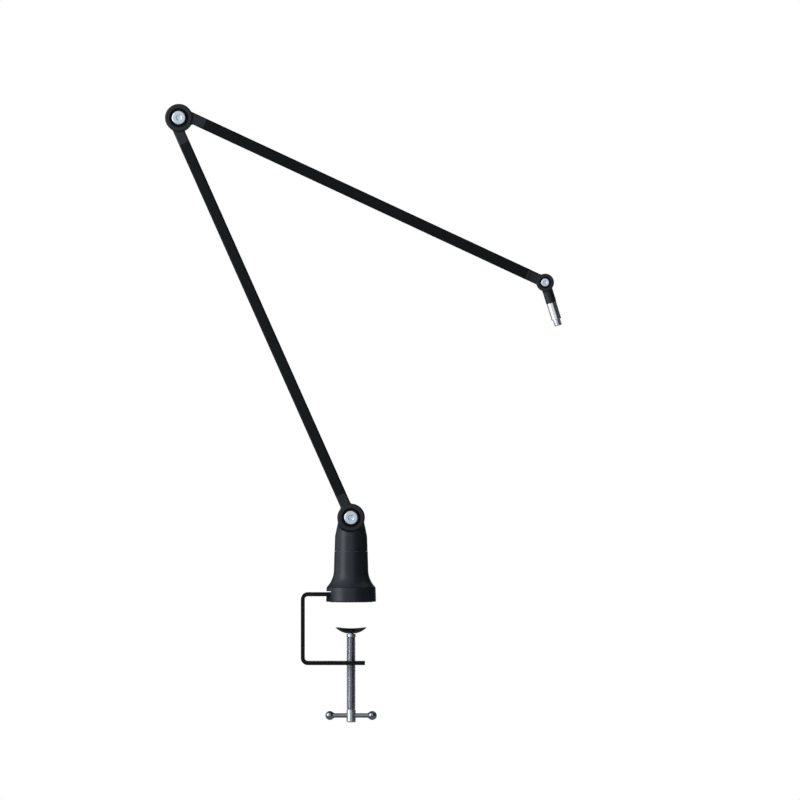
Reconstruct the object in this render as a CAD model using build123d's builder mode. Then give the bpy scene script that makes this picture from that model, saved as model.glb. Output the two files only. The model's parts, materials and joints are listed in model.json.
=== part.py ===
from build123d import *
import os
from dataclasses import dataclass
from math import asin, cos, degrees, radians, sin

os.makedirs("parts", exist_ok=True)

# All sizes in millimetres and degrees. The swivel axis is Z, the desk seat is Z = 0,
# and both arms stand in the XZ plane, with their bolt heads on the -Y side.

# Arms
base_pivot_height = 93.0
lower_arm_length = 478.5  # base pivot to elbow pivot
upper_arm_length = 441.5  # elbow pivot to tip pivot
lower_arm_lean = 23.3  # from upright, towards -X
upper_arm_drop = 24.2  # from level, downwards to +X
tube_width = 12.0  # in the plane of the arms
tube_depth = 26.0  # along Y
tube_corner = 2.0
tube_wall = 1.5
plug_length = 24.0
plug_clearance = 0.1
base_neck_length = 27.7  # pivot to the end of the tube
elbow_tongue_neck_length = 28.0
elbow_fork_neck_length = 28.6
tip_neck_length = 22.0
neck_corner = 1.8
neck_plate = 2.0  # where a neck is less deep than its tube

# Fits
same = 0.01  # two places closer than this are one
running_clearance = 0.05  # radial, a shaft in its bush
turning_gap = 0.5  # between a disc's rim and what it turns past
hole_clearance = 0.15  # radial, a bolt in a plain hole

# Tube screws, countersunk
tube_screw_dia = 3.0
tube_screw_head_dia = 5.8
tube_screw_length = 7.0
tube_screw_spacing = 12.0
tube_screw_angle = 90.0
tube_screw_socket_flats = 2.0
tube_screw_socket_depth = 1.2
bolt_tail = 0.6  # a bolt stands out of its nut
bolt_end_chamfer = 0.6
nut_chamfer = 0.9

# Swivel head
head_bottom_radius = 18.2
head_waist_radius = 17.65
head_waist_height = base_pivot_height - 20.4
head_top_radius = 13.4
head_waist_round = 5.0
pocket_round = 1.4

# Base cone and cup
seam_height = 56.0
seam_gap = 0.3
cone_top_radius = 18.35
flare_start_height = 36.0
flare_start_radius = 18.9
flare_radius = 27.65
cup_top_radius = 27.0
cup_bottom_radius = 27.5
cup_height = 16.6
cup_edge_round = 1.0
rim_step = 0.4  # the foot pad stands this far out of the cup
foot_pad_radius = 23.0
foot_pad_thickness = 2.4
foot_pad_round = 0.3
cone_screw_dia = 5.0
cone_screw_head_dia = 9.6
cone_screw_angle = 90.0
cone_screw_radius = 18.1  # from the swivel axis
cone_screw_half_spacing = 7.5
cone_screw_grip = 5.4  # in the cone

# Swivel post
post_dia = 12.0
post_top = base_pivot_height - 17.2
post_chamfer = 0.8
post_tail = 0.8  # under its nut
post_nut_lift = 1.6  # above the cup
post_bush_wall = 2.0
post_bush_length = 11.0
post_flange_dia = 21.0
post_flange_thickness = 1.5
post_washer_dia = 22.0
post_washer_thickness = 2.0
post_spring_dia = 20.0
post_spring_thickness = 1.0
post_spring_rise = 0.4
post_nut_flats = 18.0
post_nut_height = 6.0
nut_room_radius = 13.2
thrust_washer_radius = 16.4
thrust_washer_thickness = 1.6
grub_screw_dia = 3.0
grub_screw_height = 58.6
grub_screw_azimuth = -62.0
grub_screw_recess = 0.4
grub_screw_socket_flats = 1.5
grub_screw_socket_depth = 1.5

# Clamp frame, a bent flat bar
bar_thickness = 4.2
bar_width = 30.0
bar_seat_height = 6.6
bar_back = 55.2  # swivel axis to the outside of the back
bar_reach = 15.3  # swivel axis to the ends of both legs
bar_bottom = 69.0  # below the desk seat
bar_bend_radius = 3.4
bar_corner_round = 3.0
bar_edge_round = 0.5
slot_side_gap = 0.5
slot_mouth_height = 5.5
slot_mouth_depth = 12.0

# Clamp screw
spindle_dia = 10.0
spindle_collar_dia = 10.0
spindle_collar_length = 3.6
spindle_collar_top = 34.9  # below the desk seat
spindle_end_dia = 10.0
spindle_end_top = 118.2
spindle_end_bottom = 132.2
spindle_end_round = 1.2
neck_dia = 5.6
neck_top = 29.6
neck_chamfer = 0.5
groove_depth = 0.5
ring_dia = 9.0
ring_thickness = 0.8
ring_gap = 0.6  # over the pad's floor
ring_opening = 60.0
handle_depth = 124.7
handle_dia = 5.0
handle_clearance = 0.08
handle_ball_dia = 10.0
handle_length = 56.6
handle_ball_bore_depth = 4.0
pad_radius = 17.3
pad_rim_depth = 27.9
pad_bowl_depth = 6.4
pad_floor_radius = 5.2
pad_arc_radius = 22.0
pad_thickness = 1.5
pad_rim_thickness = 0.5
pad_hole_clearance = 0.7
pad_scallop_depth = 1.2
pad_scallop_half_width = 14.5

# Spigot
spigot_lean = 17.1  # from straight down, towards +X
holder_dia = 11.5
holder_end = 23.5  # along the spigot, from the tip pivot
holder_edge_round = 0.6
spigot_dia = 10.9
spigot_shoulder = 42.5
spigot_undercut = 1.0
spigot_undercut_dia = 8.4
spigot_thread_dia = 9.525
spigot_end = 49.6
spigot_rim_chamfer = 0.4
spigot_nose_chamfer = 0.8
spigot_shank_dia = 6.0
spigot_shank_depth = 11.0


@dataclass
class Knuckle:
    """A bolted friction joint: a forked fitting over a tongue."""

    disc_dia: float
    fork_width: float
    tongue_width: float
    friction_disc_dia: float
    friction_disc_thickness: float
    recess_dia: float
    recess_depth: float
    edge_round: float
    neck_depth: float
    neck_round: float
    bolt_dia: float
    head_dia: float
    head_height: float
    head_round: float
    socket_flats: float
    socket_depth: float
    nut_flats: float
    nut_height: float
    spring_dia: float
    spring_thickness: float
    spring_rise: float
    bush_wall: float

    @property
    def disc_radius(self):
        return self.disc_dia / 2

    @property
    def fork_half(self):
        return self.fork_width / 2

    @property
    def tongue_half(self):
        return self.tongue_width / 2

    @property
    def gap_half(self):
        return self.tongue_half + self.friction_disc_thickness

    @property
    def floor(self):
        return self.fork_half - self.recess_depth

    @property
    def spring_height(self):
        return 2 * (self.spring_thickness + self.spring_rise)


large_knuckle = Knuckle(
    disc_dia=30.4,
    fork_width=30.0,
    tongue_width=14.0,
    friction_disc_dia=26.0,
    friction_disc_thickness=1.0,
    recess_dia=21.0,
    recess_depth=3.4,
    edge_round=1.6,
    neck_depth=26.0,
    neck_round=2.9,
    bolt_dia=8.0,
    head_dia=15.4,
    head_height=4.2,
    head_round=1.2,
    socket_flats=5.0,
    socket_depth=2.2,
    nut_flats=13.0,
    nut_height=4.0,
    spring_dia=16.0,
    spring_thickness=0.8,
    spring_rise=0.3,
    bush_wall=1.5,
)
small_knuckle = Knuckle(
    disc_dia=19.4,
    fork_width=20.0,
    tongue_width=9.0,
    friction_disc_dia=15.0,
    friction_disc_thickness=0.6,
    recess_dia=12.6,
    recess_depth=2.2,
    edge_round=0.9,
    neck_depth=17.6,
    neck_round=1.9,
    bolt_dia=5.0,
    head_dia=9.2,
    head_height=2.8,
    head_round=0.8,
    socket_flats=3.0,
    socket_depth=1.4,
    nut_flats=8.0,
    nut_height=2.7,
    spring_dia=10.0,
    spring_thickness=0.5,
    spring_rise=0.2,
    bush_wall=1.0,
)


def side_plane(pivot, angle):
    """A plane through a pivot, facing -Y, with its x direction at an angle above +X."""
    direction = (cos(radians(angle)), 0, sin(radians(angle)))
    return Plane(origin=pivot, x_dir=direction, z_dir=(0, -1, 0))


def section_plane(plane, along, offset):
    """A plane across an arm, facing along it."""
    origin = plane.from_local_coords(Vector(along, offset, 0))
    return Plane(origin=origin, x_dir=(0, 1, 0), z_dir=plane.x_dir)


def flipped(plane):
    """The same plane, facing the other way."""
    return Plane(origin=plane.origin, x_dir=plane.x_dir, z_dir=-plane.z_dir)


def save(builder, name):
    """Labels a finished piece and writes its STEP file."""
    builder.part.label = name
    export_step(builder.part, f"parts/{name}.step")


# Pivots and the directions that the fittings point in. Each tube's axis meets the pivot
# at its outer end, and passes the elbow half a tube's width to the outside, so that the
# inner edges of both tubes meet at the elbow's axis.
elbow_offset = tube_width / 2
lower_angle = 90 + lower_arm_lean
upper_angle = -upper_arm_drop
lower_tube_angle = lower_angle + degrees(asin(elbow_offset / lower_arm_length))
upper_tube_angle = upper_angle - degrees(asin(elbow_offset / upper_arm_length))
spigot_angle = -90 + spigot_lean

base_pivot = Vector(0, 0, base_pivot_height)
elbow_pivot = side_plane(base_pivot, lower_angle).from_local_coords(Vector(lower_arm_length, 0, 0))
tip_pivot = side_plane(elbow_pivot, upper_angle).from_local_coords(Vector(upper_arm_length, 0, 0))

base_fork_plane = side_plane(base_pivot, lower_tube_angle)
elbow_tongue_plane = side_plane(elbow_pivot, lower_tube_angle + 180)
elbow_fork_plane = side_plane(elbow_pivot, upper_tube_angle)
tip_fork_plane = side_plane(tip_pivot, upper_tube_angle + 180)
spigot_plane = side_plane(tip_pivot, spigot_angle)
lower_tube_length = (lower_arm_length**2 - elbow_offset**2) ** 0.5
upper_tube_length = (upper_arm_length**2 - elbow_offset**2) ** 0.5


def screw_planes(plane, offset, neck_length, inner_side):
    """The outward-facing planes of a fitting's two tube screws, on the tube's inner face."""
    normal = plane.y_dir * inner_side
    planes = []
    for step in (-0.5, 0.5):
        along = neck_length + plug_length / 2 + step * tube_screw_spacing
        point = plane.from_local_coords(Vector(along, offset + inner_side * tube_width / 2, 0))
        planes.append(Plane(origin=point, x_dir=(0, 1, 0), z_dir=normal))
    return planes


base_fork_screws = screw_planes(base_fork_plane, 0, base_neck_length, -1)
elbow_tongue_screws = screw_planes(elbow_tongue_plane, -elbow_offset, elbow_tongue_neck_length, 1)
elbow_fork_screws = screw_planes(elbow_fork_plane, elbow_offset, elbow_fork_neck_length, -1)
tip_fork_screws = screw_planes(tip_fork_plane, 0, tip_neck_length, 1)


def neck_edges(part, plane, half_depth, length):
    """The long edges of a neck's two side faces, without the edges at its tube end."""

    def on_side(edge):
        middle = edge.center()
        at_face = abs(abs(middle.Y) - half_depth) < same
        return at_face and plane.to_local_coords(middle).X < length - same

    return part.edges().filter_by(on_side)


def add_neck(builder, plane, knuckle, radius, offset, neck_length):
    """Adds a disc with a neck out to the tube, and a plate where the tube is deeper."""
    plated = knuckle.neck_depth < tube_depth
    outline_length = neck_length - neck_plate if plated else neck_length
    with BuildSketch(plane) as outline:
        with Locations(Location((0, 0, 0), (0, 0, 180))):  # its seam is away from the neck
            Circle(radius)
        with Locations((outline_length / 2, offset)):
            Rectangle(outline_length, tube_width)
    extrude(outline.sketch, amount=knuckle.neck_depth / 2, both=True)

    def concave(edge):
        middle = plane.to_local_coords(edge.center())
        return 0 < middle.X < outline_length - same and abs(middle.Z) < same

    fillet(builder.edges().filter_by(Axis.Y).filter_by(concave), knuckle.neck_round)
    fillet(neck_edges(builder.part, plane, knuckle.neck_depth / 2, outline_length), neck_corner)
    if plated:
        with BuildSketch(section_plane(plane, outline_length, offset)) as plate:
            RectangleRounded(tube_depth, tube_width, tube_corner)
        extrude(plate.sketch, amount=neck_plate)


def add_plug(builder, plane, offset, neck_length, screws):
    """Adds the plug that fits in the tube, with the holes that its screws hold in."""
    depth = tube_depth - 2 * (tube_wall + plug_clearance)
    width = tube_width - 2 * (tube_wall + plug_clearance)
    with BuildSketch(section_plane(plane, neck_length, offset)) as plug:
        RectangleRounded(depth, width, tube_corner / 2)
    extrude(plug.sketch, amount=plug_length)
    for screw in screws:
        with Locations(screw):
            Hole(tube_screw_dia / 2, depth=tube_screw_length)


def make_fork(plane, knuckle, offset, neck_length, screws):
    """A forked fitting: two cheeks, recessed for the bolt head and the nut, on a neck and plug."""
    with BuildPart() as fork:
        add_neck(fork, plane, knuckle, knuckle.disc_radius, offset, neck_length)
        with BuildSketch(plane):
            Circle(knuckle.disc_radius)
        extrude(amount=knuckle.fork_half, both=True)
        with BuildSketch(plane):
            Circle(knuckle.disc_radius + turning_gap)
        extrude(amount=knuckle.gap_half, both=True, mode=Mode.SUBTRACT)
        for face_plane in (plane, flipped(plane)):
            with Locations(face_plane.offset(knuckle.fork_half)):
                CounterBoreHole(
                    radius=knuckle.bolt_dia / 2 + hole_clearance,
                    counter_bore_radius=knuckle.recess_dia / 2,
                    counter_bore_depth=knuckle.recess_depth,
                    depth=knuckle.fork_half,
                )
        rims = fork.edges().filter_by(GeomType.CIRCLE)
        rims = rims.filter_by(lambda e: abs(abs(e.center().Y) - knuckle.fork_half) < same)
        fillet(rims.filter_by(lambda e: e.radius > knuckle.disc_radius - same), knuckle.edge_round)
        add_plug(fork, plane, offset, neck_length, screws)
    return fork


def make_tongue(plane, knuckle, offset, neck_length, screws):
    """A tongued fitting: a bored disc that stands between two cheeks, on a neck and plug."""
    with BuildPart() as tongue:
        add_neck(tongue, plane, knuckle, knuckle.disc_radius - turning_gap, offset, neck_length)
        for face_plane in (plane, flipped(plane)):
            with BuildSketch(face_plane.offset(knuckle.tongue_half)):
                Circle(knuckle.disc_radius + turning_gap)
            extrude(amount=tube_depth, mode=Mode.SUBTRACT)
        with BuildSketch(plane):
            Circle(knuckle.bolt_dia / 2 + running_clearance + knuckle.bush_wall)
        extrude(amount=knuckle.tongue_half, both=True, mode=Mode.SUBTRACT)
        add_plug(tongue, plane, offset, neck_length, screws)
    return tongue


def make_tube(plane, start, end, offset, screws):
    """A rounded rectangular tube, countersunk on its inner face for the screws at both ends."""
    with BuildPart() as tube:
        with BuildSketch(section_plane(plane, start, offset)):
            RectangleRounded(tube_depth, tube_width, tube_corner)
            RectangleRounded(
                tube_depth - 2 * tube_wall,
                tube_width - 2 * tube_wall,
                tube_corner / 2,
                mode=Mode.SUBTRACT,
            )
        extrude(amount=end - start)
        for screw in screws:
            with Locations(screw):
                CounterSinkHole(
                    radius=tube_screw_dia / 2,
                    counter_sink_radius=tube_screw_head_dia / 2,
                    depth=2 * tube_wall,
                    counter_sink_angle=tube_screw_angle,
                )
    return tube


def make_tube_screws(planes):
    """Countersunk screws, one solid for each plane."""
    head_depth = (tube_screw_head_dia - tube_screw_dia) / 2
    with BuildPart() as screws:
        for plane in planes:
            with BuildSketch(plane):
                Circle(tube_screw_head_dia / 2)
            with BuildSketch(plane.offset(-head_depth)):
                Circle(tube_screw_dia / 2)
            loft()
            with BuildSketch(plane.offset(-head_depth)):
                Circle(tube_screw_dia / 2)
            extrude(amount=-(tube_screw_length - head_depth))
            with BuildSketch(plane):
                RegularPolygon(tube_screw_socket_flats / 2, 6, major_radius=False)
            extrude(amount=-tube_screw_socket_depth, mode=Mode.SUBTRACT)
    return screws


def make_bolt(plane, knuckle):
    """A low-head socket bolt through a knuckle, with its head on the -Y side."""
    head_plane = plane.offset(knuckle.floor)
    shank_length = 2 * knuckle.floor + knuckle.spring_height + knuckle.nut_height + bolt_tail
    with BuildPart() as bolt:
        with BuildSketch(head_plane):
            Circle(knuckle.head_dia / 2)
        extrude(amount=knuckle.head_height)
        top = bolt.edges().filter_by(GeomType.CIRCLE).sort_by(Axis.Y)[0]
        fillet(top, knuckle.head_round)
        with BuildSketch(head_plane.offset(knuckle.head_height)):
            RegularPolygon(knuckle.socket_flats / 2, 6, major_radius=False)
        extrude(amount=-knuckle.socket_depth, mode=Mode.SUBTRACT)
        with BuildSketch(head_plane):
            Circle(knuckle.bolt_dia / 2)
        extrude(amount=-shank_length)
        end = bolt.edges().filter_by(GeomType.CIRCLE).sort_by(Axis.Y)[-1]
        chamfer(end, bolt_end_chamfer)
    return bolt


def make_nut(plane, flats, height, bore_dia):
    """A hexagon nut that stands on a plane, with its corners chamfered at both ends."""
    with BuildPart() as nut:
        with BuildSketch(plane):
            Circle(flats / 2 / cos(radians(30)))
        extrude(amount=height)
        chamfer(nut.edges().filter_by(GeomType.CIRCLE), nut_chamfer)
        with BuildSketch(plane):
            RegularPolygon(flats / 2, 6, major_radius=False)
            Circle(bore_dia / 2, mode=Mode.SUBTRACT)
        extrude(amount=height, mode=Mode.INTERSECT)
    return nut


def make_bush(plane, knuckle):
    """A plain bush through a tongue."""
    bore = knuckle.bolt_dia / 2 + running_clearance
    with BuildPart() as bush:
        with BuildSketch(plane):
            Circle(bore + knuckle.bush_wall)
            Circle(bore, mode=Mode.SUBTRACT)
        extrude(amount=knuckle.tongue_half, both=True)
    return bush


def make_friction_discs(plane, knuckle):
    """The two friction discs between a tongue and its cheeks."""
    with BuildPart() as discs:
        for face_plane in (plane, flipped(plane)):
            with BuildSketch(face_plane.offset(knuckle.tongue_half)):
                Circle(knuckle.friction_disc_dia / 2)
                Circle(knuckle.bolt_dia / 2 + hole_clearance, mode=Mode.SUBTRACT)
            extrude(amount=knuckle.friction_disc_thickness)
    return discs


def add_disc_spring(origin, direction, inner_radius, outer_radius, thickness, rise):
    """Adds one dished washer: its inner rim stands higher along the direction by the rise."""
    axis_plane = Plane(origin=origin, x_dir=(1, 0, 0), z_dir=direction)
    profile_plane = Plane(origin=origin, x_dir=axis_plane.x_dir, z_dir=-axis_plane.y_dir)
    with BuildSketch(profile_plane) as profile:
        with BuildLine():
            Polyline(
                (inner_radius, rise),
                (outer_radius, 0),
                (outer_radius, thickness),
                (inner_radius, rise + thickness),
                close=True,
            )
        make_face()
    revolve(profile.sketch, axis=Axis(origin, direction))


def make_disc_springs(plane, knuckle):
    """Two dished washers, rim to rim, between the rear cheek and the nut."""
    back = flipped(plane).offset(knuckle.floor)
    middle = back.offset(knuckle.spring_height / 2)
    inner_radius = knuckle.bolt_dia / 2 + hole_clearance
    outer_radius = knuckle.spring_dia / 2
    with BuildPart() as springs:
        for direction in (back.z_dir, -back.z_dir):
            add_disc_spring(
                middle.origin,
                direction,
                inner_radius,
                outer_radius,
                knuckle.spring_thickness,
                knuckle.spring_rise,
            )
    return springs


def save_knuckle(plane, knuckle, name):
    """Writes the bolt, nut, springs, friction discs and bush of one knuckle."""
    nut_plane = flipped(plane).offset(knuckle.floor + knuckle.spring_height)
    save(make_bolt(plane, knuckle), f"{name}_bolt")
    save(make_nut(nut_plane, knuckle.nut_flats, knuckle.nut_height, knuckle.bolt_dia), f"{name}_nut")
    save(make_disc_springs(plane, knuckle), f"{name}_disc_springs")
    save(make_friction_discs(plane, knuckle), f"{name}_friction_discs")
    save(make_bush(plane, knuckle), f"{name}_bush")


# Clamp frame: one flat bar bent into a C, open towards +X, tapped for the spindle.
bar_top = bar_seat_height + bar_thickness
outer_bend_radius = bar_bend_radius + bar_thickness
with BuildPart() as clamp_frame:
    with BuildSketch(Plane.XZ):
        with BuildLine():
            outer = FilletPolyline(
                (bar_reach, bar_top),
                (-bar_back, bar_top),
                (-bar_back, -bar_bottom),
                (bar_reach, -bar_bottom),
                radius=outer_bend_radius,
            )
            inner = FilletPolyline(
                (bar_reach, bar_top - bar_thickness),
                (-bar_back + bar_thickness, bar_top - bar_thickness),
                (-bar_back + bar_thickness, -bar_bottom + bar_thickness),
                (bar_reach, -bar_bottom + bar_thickness),
                radius=bar_bend_radius,
            )
            Line(outer @ 0, inner @ 0)
            Line(outer @ 1, inner @ 1)
        make_face()
    extrude(amount=bar_width / 2, both=True)
    ends = clamp_frame.edges().filter_by(lambda e: e.center().X > bar_reach - same)
    fillet(ends.filter_by(Axis.Z), bar_corner_round)

    def on_outline(edge):
        across = abs(edge.tangent_at(0).Y) > 1 - same and edge.center().X < bar_reach - same
        through = abs(edge.tangent_at(0).Z) > 1 - same and edge.length < bar_thickness + same
        return not across and not through

    fillet(clamp_frame.edges().filter_by(on_outline), bar_edge_round)
    with BuildSketch(Plane.XY.offset(-bar_bottom)):
        Circle(spindle_dia / 2 + running_clearance)
    extrude(amount=bar_thickness, mode=Mode.SUBTRACT)
    with BuildSketch(Plane.XY.offset(bar_seat_height)):
        with GridLocations(0, 2 * cone_screw_half_spacing, 1, 2):
            with Locations((-cone_screw_radius, 0)):
                Circle(cone_screw_dia / 2 + hole_clearance)
    extrude(amount=bar_thickness, mode=Mode.SUBTRACT)
save(clamp_frame, "clamp_frame")

# Base cup: a disc with a slot for the bar's top leg, and a recess below for the foot pad.
cone_screw_points = [
    (-cone_screw_radius, -cone_screw_half_spacing),
    (-cone_screw_radius, cone_screw_half_spacing),
    (cone_screw_radius, 0),
]
with BuildPart() as base_cup:
    with BuildSketch(Plane.XZ):
        with BuildLine():
            Polyline(
                (0, foot_pad_thickness),
                (foot_pad_radius, foot_pad_thickness),
                (foot_pad_radius, rim_step),
                (cup_bottom_radius, rim_step),
                (cup_top_radius, cup_height),
                (0, cup_height),
                close=True,
            )
        make_face()
    revolve(axis=Axis.Z)
    rims = base_cup.edges().filter_by(GeomType.CIRCLE)
    fillet(rims.filter_by(lambda e: e.radius > foot_pad_radius + same), cup_edge_round)
    slot_width = bar_width + 2 * slot_side_gap
    with BuildSketch(Plane.XY.offset(bar_seat_height)):
        with Locations((bar_reach + slot_side_gap, 0)):
            Rectangle(bar_back + bar_reach, slot_width, align=(Align.MAX, Align.CENTER))
    extrude(amount=bar_thickness, mode=Mode.SUBTRACT)
    with BuildSketch(Plane.XY.offset(bar_seat_height)):
        with Locations((slot_mouth_depth - cup_bottom_radius, 0)):
            Rectangle(bar_back, slot_width, align=(Align.MAX, Align.CENTER))
    extrude(amount=slot_mouth_height, mode=Mode.SUBTRACT)
    with Locations(Plane.XY.offset(foot_pad_thickness) * Rot(180, 0, 0)):
        with Locations([(x, -y) for x, y in cone_screw_points]):
            CounterSinkHole(
                radius=cone_screw_dia / 2 + hole_clearance,
                counter_sink_radius=cone_screw_head_dia / 2,
                depth=cup_height,
                counter_sink_angle=cone_screw_angle,
            )
save(base_cup, "base_cup")

with BuildPart() as foot_pad:
    with BuildSketch():
        Circle(foot_pad_radius)
    extrude(amount=foot_pad_thickness)
    fillet(foot_pad.edges().sort_by(Axis.Z)[0], foot_pad_round)
save(foot_pad, "foot_pad")

# Base cone: flared down to the cup, bored for the post's bushes, hollow below for its nut.
post_bush_radius = post_dia / 2 + running_clearance + post_bush_wall
cone_top = seam_height - seam_gap / 2
thrust_bottom = seam_height - thrust_washer_thickness / 2
lower_bush_bottom = (
    cup_height
    + post_nut_height
    + post_spring_thickness
    + post_spring_rise
    + post_washer_thickness
    + post_flange_thickness
    + post_nut_lift
)
flare_centre = (flare_start_radius + flare_radius, flare_start_height)
flare_drop = flare_start_height - cup_height
flare_angle = degrees(asin(flare_drop / flare_radius))
with BuildPart() as base_cone:
    with BuildSketch(Plane.XZ):
        with BuildLine():
            flare = CenterArc(flare_centre, flare_radius, 180, flare_angle)
            Polyline(flare @ 0, (cone_top_radius, cone_top), (0, cone_top), (0, cup_height), flare @ 1)
        make_face()
    revolve(axis=Axis.Z)
    with BuildSketch(Plane.XY.offset(cup_height)):
        Circle(post_bush_radius)
    extrude(amount=cone_top, mode=Mode.SUBTRACT)
    with BuildSketch(Plane.XY.offset(cup_height)):
        Circle(nut_room_radius)
    extrude(amount=lower_bush_bottom - cup_height, mode=Mode.SUBTRACT)
    with BuildSketch(Plane.XY.offset(thrust_bottom)):
        Circle(thrust_washer_radius)
    extrude(amount=cone_top, mode=Mode.SUBTRACT)
    with BuildSketch(Plane.XY.offset(cup_height)):
        with Locations(cone_screw_points):
            Circle(cone_screw_dia / 2)
    extrude(amount=cone_screw_grip, mode=Mode.SUBTRACT)
save(base_cone, "base_cone")

with BuildPart() as cone_screws:
    head_depth = (cone_screw_head_dia - cone_screw_dia) / 2
    with BuildSketch(Plane.XY.offset(foot_pad_thickness)):
        with Locations(cone_screw_points):
            Circle(cone_screw_head_dia / 2)
    extrude(amount=head_depth, taper=cone_screw_angle / 2)
    with BuildSketch(Plane.XY.offset(foot_pad_thickness + head_depth)):
        with Locations(cone_screw_points):
            Circle(cone_screw_dia / 2)
    extrude(amount=cup_height + cone_screw_grip - foot_pad_thickness - head_depth)
save(cone_screws, "cone_screws")

# Bushes in the cone: the lower one is flanged, the upper one ends under the thrust washer.
for bush_name, bottom, flange in (
    ("lower_swivel_bush", lower_bush_bottom, True),
    ("upper_swivel_bush", thrust_bottom - post_bush_length, False),
):
    with BuildPart() as swivel_bush:
        with BuildSketch(Plane.XY.offset(bottom)):
            Circle(post_bush_radius)
        extrude(amount=post_bush_length)
        if flange:
            with BuildSketch(Plane.XY.offset(bottom)):
                Circle(post_flange_dia / 2)
            extrude(amount=-post_flange_thickness)
        with BuildSketch(Plane.XY.offset(bottom - post_flange_thickness)):
            Circle(post_dia / 2 + running_clearance)
        extrude(amount=post_bush_length + post_flange_thickness, mode=Mode.SUBTRACT)
    save(swivel_bush, bush_name)

# Swivel head: a tapered round body, cut away each side of its tongue for the fork's cheeks.
head_bottom = seam_height + seam_gap / 2
pocket_radius = large_knuckle.disc_radius + turning_gap
grub_direction = Vector(cos(radians(grub_screw_azimuth)), sin(radians(grub_screw_azimuth)), 0)
grub_mouth = head_bottom_radius - grub_screw_recess
grub_plane = Plane(
    origin=grub_direction * grub_mouth + Vector(0, 0, grub_screw_height),
    x_dir=(0, 0, 1),
    z_dir=grub_direction,
)
base_plane = side_plane(base_pivot, 0)
with BuildPart() as swivel_head:
    with BuildSketch(Plane.XZ):
        with BuildLine():
            Polyline(
                (0, head_bottom),
                (head_bottom_radius, head_bottom),
                (head_waist_radius, head_waist_height),
                (head_top_radius, base_pivot_height),
                (0, base_pivot_height),
                close=True,
            )
        make_face()
        waist = vertices().sort_by_distance((head_waist_radius, head_waist_height))[0]
        fillet(waist, head_waist_round)
    revolve(axis=Axis.Z)
    for side in (base_plane, flipped(base_plane)):
        with BuildSketch(side.offset(large_knuckle.tongue_half)):
            Circle(pocket_radius)
        extrude(amount=head_bottom_radius, mode=Mode.SUBTRACT)

    def on_pocket_rim(edge):
        middle = base_plane.to_local_coords(edge @ 0.5)
        on_wall = abs(Vector(middle.X, middle.Y, 0).length - pocket_radius) < same
        return on_wall and abs(middle.Z) > large_knuckle.tongue_half + same

    fillet(swivel_head.edges().filter_by(on_pocket_rim), pocket_round)
    with BuildSketch(base_plane):
        Circle(large_knuckle.disc_radius - turning_gap)
    extrude(amount=large_knuckle.tongue_half, both=True)
    with BuildSketch(base_plane):
        Circle(large_knuckle.bolt_dia / 2 + running_clearance + large_knuckle.bush_wall)
    extrude(amount=large_knuckle.tongue_half, both=True, mode=Mode.SUBTRACT)
    with BuildSketch(Plane.XY.offset(head_bottom)):
        Circle(post_dia / 2)
    extrude(amount=post_top - head_bottom, mode=Mode.SUBTRACT)
    with BuildSketch(Plane.XY.offset(head_bottom)):
        Circle(thrust_washer_radius)
    extrude(amount=thrust_washer_thickness / 2 - seam_gap / 2, mode=Mode.SUBTRACT)
    with BuildSketch(grub_plane.offset(2 * grub_screw_recess)):
        Circle(grub_screw_dia / 2)
    extrude(amount=post_dia / 2 - grub_mouth - 2 * grub_screw_recess, mode=Mode.SUBTRACT)
save(swivel_head, "swivel_head")

post_bottom = lower_bush_bottom - post_flange_thickness - post_washer_thickness
post_bottom -= post_spring_thickness + post_spring_rise + post_nut_height + post_tail
with BuildPart() as swivel_post:
    with BuildSketch(Plane.XY.offset(post_bottom)):
        Circle(post_dia / 2)
    extrude(amount=post_top - post_bottom)
    chamfer(swivel_post.edges().filter_by(GeomType.CIRCLE), post_chamfer)
save(swivel_post, "swivel_post")

with BuildPart() as thrust_washer:
    with BuildSketch(Plane.XY.offset(thrust_bottom)):
        Circle(thrust_washer_radius - hole_clearance)
        Circle(post_dia / 2 + hole_clearance, mode=Mode.SUBTRACT)
    extrude(amount=thrust_washer_thickness)
save(thrust_washer, "thrust_washer")

washer_top = lower_bush_bottom - post_flange_thickness
with BuildPart() as post_washer:
    with BuildSketch(Plane.XY.offset(washer_top)):
        Circle(post_washer_dia / 2)
        Circle(post_dia / 2 + hole_clearance, mode=Mode.SUBTRACT)
    extrude(amount=-post_washer_thickness)
save(post_washer, "post_washer")

spring_top = washer_top - post_washer_thickness
with BuildPart() as post_disc_spring:
    add_disc_spring(
        Vector(0, 0, spring_top),
        Vector(0, 0, -1),
        post_dia / 2 + hole_clearance,
        post_spring_dia / 2,
        post_spring_thickness,
        post_spring_rise,
    )
save(post_disc_spring, "post_disc_spring")

nut_top = spring_top - post_spring_thickness - post_spring_rise
post_nut = make_nut(Plane.XY.offset(nut_top - post_nut_height), post_nut_flats, post_nut_height, post_dia)
save(post_nut, "post_nut")

with BuildPart() as post_grub_screw:
    with BuildSketch(grub_plane):
        Circle(grub_screw_dia / 2)
    extrude(amount=-(grub_mouth - post_dia / 2))
    with BuildSketch(grub_plane):
        RegularPolygon(grub_screw_socket_flats / 2, 6, major_radius=False)
    extrude(amount=-grub_screw_socket_depth, mode=Mode.SUBTRACT)
save(post_grub_screw, "post_grub_screw")

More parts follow.
